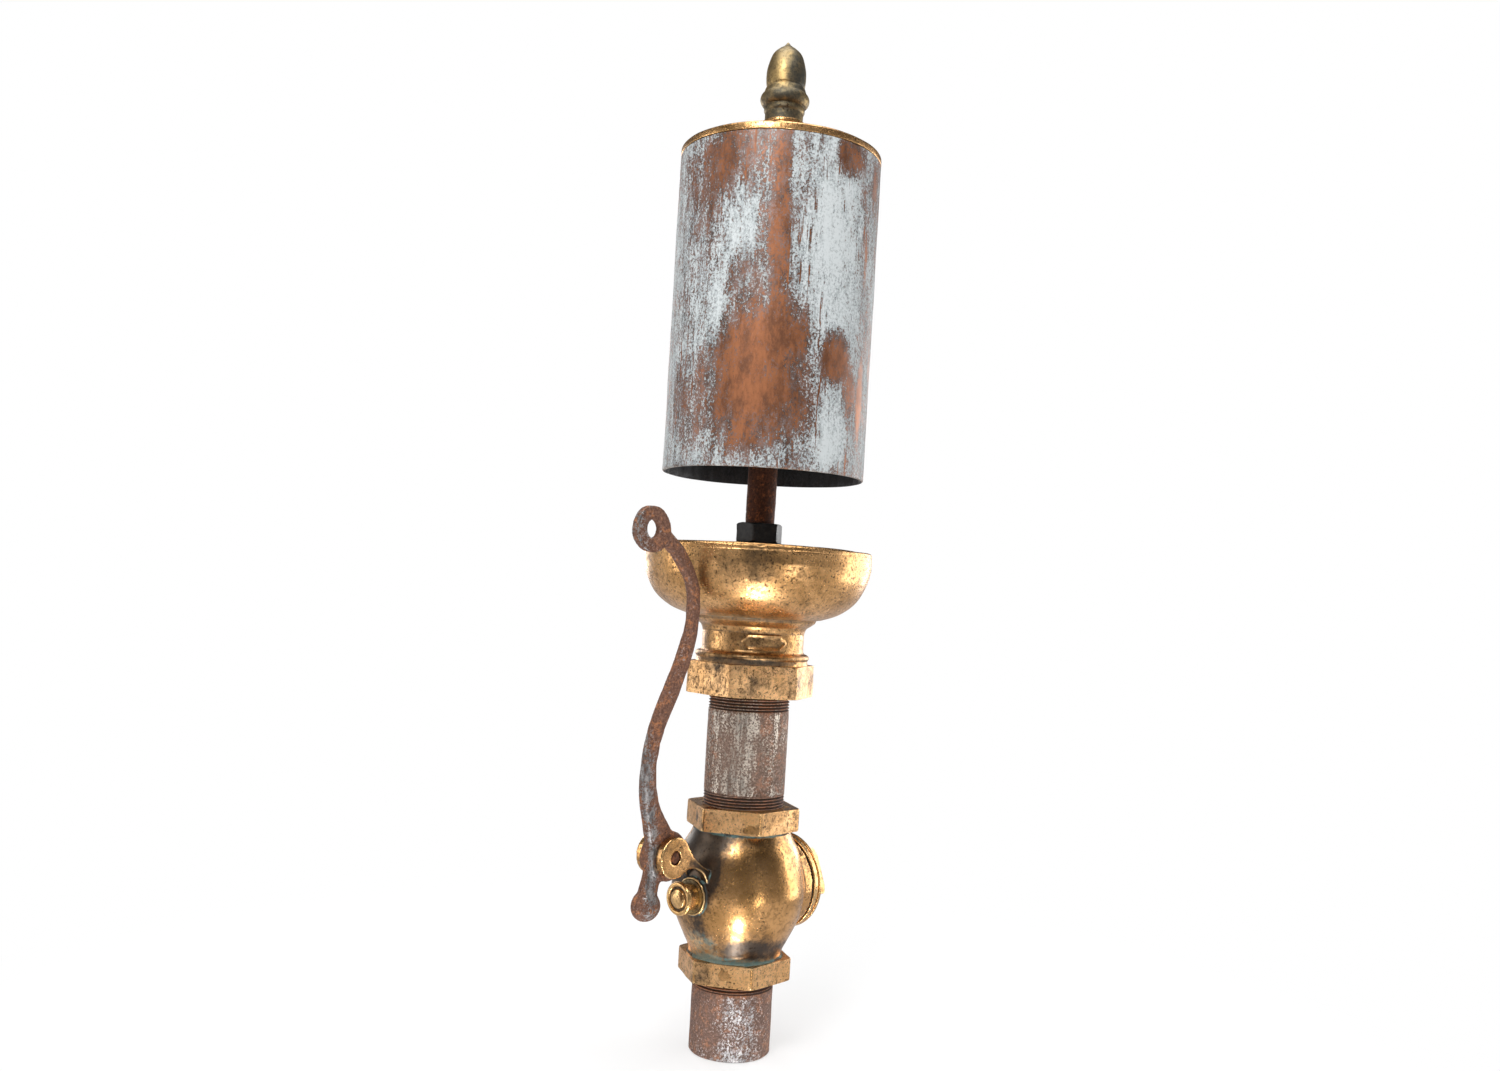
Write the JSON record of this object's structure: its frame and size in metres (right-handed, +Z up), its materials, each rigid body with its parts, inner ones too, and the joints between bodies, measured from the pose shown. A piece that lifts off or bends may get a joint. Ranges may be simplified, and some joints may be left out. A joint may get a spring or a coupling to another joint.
{
  "type": "steam whistle with lever valve",
  "caption": "Upright steam whistle: open bell over an annular bowl, on a globe valve with push stem, long hand lever, access cap and pipe inlet.",
  "frame": {"origin": "middle of the object's footprint box, level with the inlet pipe's cut lower end; the whistle's own axis stands at X = 30.95 mm, Y = 0", "axes": "+Z up the whistle's axis to the acorn nut; the valve stem lies along X at Z = 120 mm with its push button and the lever on the -X side and the access cap on the +X side; the lever's pin lies along Y"},
  "size_m": [0.232, 0.17, 0.755],
  "materials": {
    "worn_pipe": "worn grey steel pipe with brown rust",
    "old_brass": "tarnished cast brass",
    "gold_brass": "rubbed golden brass with pits",
    "dark_bronze": "dark olive bronze",
    "red_fibre": "red fibre sheet",
    "spring_steel": "plain steel",
    "rusty_iron": "forged iron, rusted brown",
    "black_iron": "blackened iron",
    "patina_copper": "brown copper under pale blue-grey verdigris"
  },
  "bodies": {
    "whistle": {"inlet_pipe": "worn_pipe", "valve_body": "old_brass", "seat_ring": "dark_bronze", "stem_bush": "dark_bronze", "valve_spring": "spring_steel", "cap_gasket": "red_fibre", "valve_cap": "gold_brass", "lever_pin": "rusty_iron", "riser_nipple": "worn_pipe", "whistle_bowl": "gold_brass", "bowl_disc": "gold_brass", "spindle": "rusty_iron", "spindle_washer": "black_iron", "spindle_nut": "black_iron"},
    "lever_arm": {"lever": "rusty_iron"},
    "stem": {"valve_stem": "gold_brass", "stem_button": "gold_brass", "valve_disc": "gold_brass", "disc_facing": "red_fibre", "disc_nut": "spring_steel"},
    "bell": {"bell_tube": "patina_copper", "bell_top_plate": "gold_brass", "bell_washer": "gold_brass", "bell_jam_nut": "black_iron", "acorn_nut": "dark_bronze"}
  },
  "joints": [
    {"name": "lever_pull", "type": "hinge", "parent": "whistle", "child": "lever_arm", "pos_m": [-0.04905, 0, 0.153], "axis": [0, -1, 0], "range_deg": [0, 44]},
    {"name": "stem_push", "type": "slide", "parent": "whistle", "child": "stem", "axis": [1, 0, 0], "range_m": [0, 0.009], "stiffness_N_per_m": 2500, "springref_m": -0.01, "deforming": ["valve_spring"]},
    {"name": "bell_height", "type": "slide", "parent": "whistle", "child": "bell", "axis": [0, 0, 1], "range_m": [-0.006, 0.006]}
  ],
  "couplings": [
    {"joint": "stem_push", "follows": "lever_pull", "m_per_rad": 0.0117}
  ]
}
